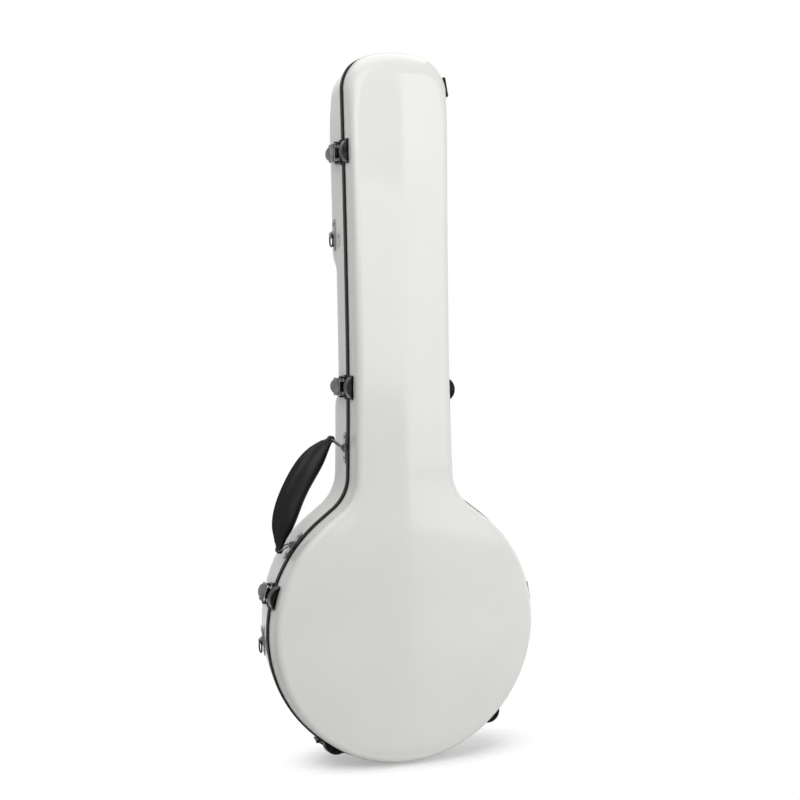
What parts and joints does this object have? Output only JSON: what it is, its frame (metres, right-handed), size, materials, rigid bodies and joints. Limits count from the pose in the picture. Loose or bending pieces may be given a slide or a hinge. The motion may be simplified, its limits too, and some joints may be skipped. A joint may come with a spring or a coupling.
{
  "type": "instrument_case",
  "caption": "A white moulded case for a banjo, with a black rubber joint, drawbolt latches, hinges, a leather handle and rings for a strap.",
  "frame": {"origin": "the centre of the round end, on the flat back of the case", "axes": "+X towards the hinges, +Y towards the head of the case, +Z out of the lid"},
  "size_m": [0.4189, 1.0452, 0.1418],
  "materials": {
    "shell": "gloss",
    "rubber": "satin",
    "hardware": "black nickel, polished",
    "plate": "satin",
    "leather": "satin",
    "plush": "matte"
  },
  "bodies": {
    "base": {"base_shell": "shell", "gasket": "rubber", "base_lining": "plush", "neck_cradle": "plush", "compartment_body_wall": "plush", "compartment_head_wall": "plush", "latch_upper_left_base": "hardware", "latch_middle_left_base": "hardware", "latch_middle_right_base": "hardware", "latch_body_left_base": "hardware", "latch_bottom_left_base": "hardware", "latch_bottom_right_base": "hardware", "hinge_body_base_leaf": "hardware", "hinge_body_pin": "hardware", "hinge_head_base_leaf": "hardware", "hinge_head_pin": "hardware", "handle_plate_upper": "plate", "handle_plate_lower": "plate", "strap_plate_upper": "plate", "strap_plate_lower": "plate"},
    "lid": {"lid_shell": "shell", "lid_lining": "plush", "latch_upper_left_keeper": "hardware", "latch_middle_left_keeper": "hardware", "latch_middle_right_keeper": "hardware", "latch_body_left_keeper": "hardware", "latch_bottom_left_keeper": "hardware", "latch_bottom_right_keeper": "hardware", "hinge_body_lid_leaf": "hardware", "hinge_head_lid_leaf": "hardware"},
    "compartment_lid": {"compartment_lid": "plush"},
    "lever_upper_left": {"latch_upper_left_lever": "hardware"},
    "hook_upper_left": {"latch_upper_left_hook": "hardware"},
    "lever_middle_left": {"latch_middle_left_lever": "hardware"},
    "hook_middle_left": {"latch_middle_left_hook": "hardware"},
    "lever_middle_right": {"latch_middle_right_lever": "hardware"},
    "hook_middle_right": {"latch_middle_right_hook": "hardware"},
    "lever_body_left": {"latch_body_left_lever": "hardware"},
    "hook_body_left": {"latch_body_left_hook": "hardware"},
    "lever_bottom_left": {"latch_bottom_left_lever": "hardware"},
    "hook_bottom_left": {"latch_bottom_left_hook": "hardware"},
    "lever_bottom_right": {"latch_bottom_right_lever": "hardware"},
    "hook_bottom_right": {"latch_bottom_right_hook": "hardware"},
    "handle_upper": {"handle_link_upper": "hardware"},
    "handle_lower": {"handle_link_lower": "hardware"},
    "handle_grip": {"handle_grip": "leather"},
    "strap_ring_upper": {"strap_ring_upper": "hardware"},
    "strap_ring_lower": {"strap_ring_lower": "hardware"}
  },
  "joints": [
    {"name": "lid_hinge", "type": "hinge", "parent": "base", "child": "lid", "pos_m": [0.20563, 0.03387, 0.1033], "axis": [-0.1625, 0.9867, 0], "range_deg": [0, 100]},
    {"name": "compartment_lid_hinge", "type": "hinge", "parent": "base", "child": "compartment_lid", "pos_m": [0, 0.309, 0.0503], "axis": [-1, 0, 0], "range_deg": [0, 95]},
    {"name": "latch_upper_left", "type": "hinge", "parent": "base", "child": "lever_upper_left", "pos_m": [-0.08317, 0.69494, 0.08497], "axis": [-0.0093, 1, 0], "range_deg": [0, 110]},
    {"name": "latch_upper_left_hook", "type": "hinge", "parent": "lever_upper_left", "child": "hook_upper_left", "pos_m": [-0.08063, 0.69496, 0.07798], "axis": [-0.0093, 1, 0], "range_deg": [-88, 0]},
    {"name": "latch_middle_left", "type": "hinge", "parent": "base", "child": "lever_middle_left", "pos_m": [-0.08241, 0.35558, 0.08497], "axis": [0.012, 0.9999, 0], "range_deg": [0, 110]},
    {"name": "latch_middle_left_hook", "type": "hinge", "parent": "lever_middle_left", "child": "hook_middle_left", "pos_m": [-0.07987, 0.35555, 0.07798], "axis": [0.012, 0.9999, 0], "range_deg": [-88, 0]},
    {"name": "latch_middle_right", "type": "hinge", "parent": "base", "child": "lever_middle_right", "pos_m": [0.0825, 0.34839, 0.08497], "axis": [0.0131, -0.9999, 0], "range_deg": [0, 110]},
    {"name": "latch_middle_right_hook", "type": "hinge", "parent": "lever_middle_right", "child": "hook_middle_right", "pos_m": [0.07996, 0.34836, 0.07798], "axis": [0.0131, -0.9999, 0], "range_deg": [-88, 0]},
    {"name": "latch_body_left", "type": "hinge", "parent": "base", "child": "lever_body_left", "pos_m": [-0.20105, 0.06032, 0.08447], "axis": [0.2874, 0.9578, 0], "range_deg": [0, 110]},
    {"name": "latch_body_left_hook", "type": "hinge", "parent": "lever_body_left", "child": "hook_body_left", "pos_m": [-0.19811, 0.05944, 0.0777], "axis": [0.2874, 0.9578, 0], "range_deg": [-88, 0]},
    {"name": "latch_bottom_left", "type": "hinge", "parent": "base", "child": "lever_bottom_left", "pos_m": [-0.11672, -0.17369, 0.08421], "axis": [-0.83, 0.5577, 0], "range_deg": [0, 110]},
    {"name": "latch_bottom_left_hook", "type": "hinge", "parent": "lever_bottom_left", "child": "hook_bottom_left", "pos_m": [-0.11483, -0.17089, 0.07759], "axis": [-0.83, 0.5577, 0], "range_deg": [-88, 0]},
    {"name": "latch_bottom_right", "type": "hinge", "parent": "base", "child": "lever_bottom_right", "pos_m": [0.14245, -0.1533, 0.08421], "axis": [-0.7325, -0.6807, 0], "range_deg": [0, 110]},
    {"name": "latch_bottom_right_hook", "type": "hinge", "parent": "lever_bottom_right", "child": "hook_bottom_right", "pos_m": [0.14015, -0.15082, 0.07759], "axis": [-0.7325, -0.6807, 0], "range_deg": [-88, 0]},
    {"name": "handle_upper_link", "type": "hinge", "parent": "base", "child": "handle_upper", "pos_m": [-0.08232, 0.26657, 0.08397], "axis": [0, 0, -1], "range_deg": [0, 36]},
    {"name": "handle_lower_link", "type": "hinge", "parent": "base", "child": "handle_lower", "pos_m": [-0.16341, 0.13045, 0.08396], "axis": [0, 0, -1], "range_deg": [0, 52]},
    {"name": "handle_grip_roll", "type": "hinge", "parent": "handle_upper", "child": "handle_grip", "pos_m": [-0.09904, 0.27977, 0.08397], "axis": [0, 0, -1], "range_deg": [-36, 0]},
    {"name": "strap_ring_upper_swing", "type": "hinge", "parent": "base", "child": "strap_ring_upper", "pos_m": [-0.08033, 0.57857, 0.04497], "axis": [0, 0, -1], "range_deg": [0, 130]},
    {"name": "strap_ring_lower_swing", "type": "hinge", "parent": "base", "child": "strap_ring_lower", "pos_m": [-0.20152, -0.01799, 0.04477], "axis": [0, 0, -1], "range_deg": [0, 130]}
  ],
  "couplings": [
    {"joint": "latch_upper_left_hook", "follows": "latch_upper_left", "ratio": -0.8},
    {"joint": "latch_middle_left_hook", "follows": "latch_middle_left", "ratio": -0.8},
    {"joint": "latch_middle_right_hook", "follows": "latch_middle_right", "ratio": -0.8},
    {"joint": "latch_body_left_hook", "follows": "latch_body_left", "ratio": -0.8},
    {"joint": "latch_bottom_left_hook", "follows": "latch_bottom_left", "ratio": -0.8},
    {"joint": "latch_bottom_right_hook", "follows": "latch_bottom_right", "ratio": -0.8},
    {"joint": "handle_lower_link", "follows": "handle_upper_link", "ratio": 1.26},
    {"joint": "handle_grip_roll", "follows": "handle_upper_link", "ratio": -0.87}
  ]
}
